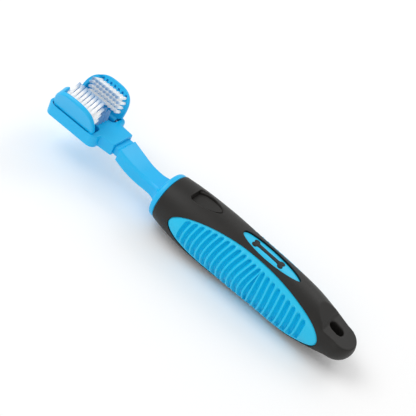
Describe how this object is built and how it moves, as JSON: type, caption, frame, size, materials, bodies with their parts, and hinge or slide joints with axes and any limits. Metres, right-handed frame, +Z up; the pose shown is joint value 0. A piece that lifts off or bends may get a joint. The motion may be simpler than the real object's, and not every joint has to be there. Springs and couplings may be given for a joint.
{
  "type": "pet toothbrush",
  "caption": "Pet toothbrush with a three-sided brush head: two hinged bristled side pads over a bristled tray, a pull-off head, an S-curved neck and a soft ribbed grip with a hanging hole.",
  "frame": {"origin": "under the middle of the brush's length, on the plane that the grip lies on", "axes": "+X from the tail of the grip to the brush head, +Y to the left side, +Z up, the way the centre bristles point"},
  "size_m": [0.21, 0.0376, 0.0441],
  "materials": {
    "blue_plastic": "moulded polypropylene, satin to gloss",
    "blue_panel": "moulded polypropylene, satin",
    "black_soft_grip": "soft-touch overmoulded elastomer, fine matt texture",
    "white_bristles": "white nylon filament",
    "clear_bristles": "semi-clear nylon filament",
    "steel_pins": "drawn stainless wire"
  },
  "bodies": {
    "handle": {"neck_core": "blue_plastic", "grip_sleeve": "black_soft_grip", "left_grip_panel": "blue_panel", "right_grip_panel": "blue_panel", "label_plate": "blue_panel", "thumb_pad": "black_soft_grip"},
    "head": {"head_base": "blue_plastic", "left_pad_pin": "steel_pins", "right_pad_pin": "steel_pins", "centre_row_far_left": "clear_bristles", "centre_row_left": "clear_bristles", "centre_row_right": "clear_bristles", "centre_row_far_right": "clear_bristles"},
    "left_side_pad": {"left_pad": "blue_plastic", "left_bristles_low": "white_bristles", "left_bristles_middle": "white_bristles", "left_bristles_high": "white_bristles", "left_bristles_rim": "white_bristles"},
    "right_side_pad": {"right_pad": "blue_plastic", "right_bristles_low": "white_bristles", "right_bristles_middle": "white_bristles", "right_bristles_high": "white_bristles", "right_bristles_rim": "white_bristles"}
  },
  "joints": [
    {"name": "head_pull_off", "type": "slide", "parent": "handle", "child": "head", "axis": [1, 0, 0], "range_m": [0, 0.014]},
    {"name": "left_pad_tilt", "type": "hinge", "parent": "head", "child": "left_side_pad", "pos_m": [0.088, 0.0113, 0.0249], "axis": [1, 0, 0], "range_deg": [0, 12]},
    {"name": "right_pad_tilt", "type": "hinge", "parent": "head", "child": "right_side_pad", "pos_m": [0.088, -0.0113, 0.0249], "axis": [-1, 0, 0], "range_deg": [0, 12]}
  ]
}
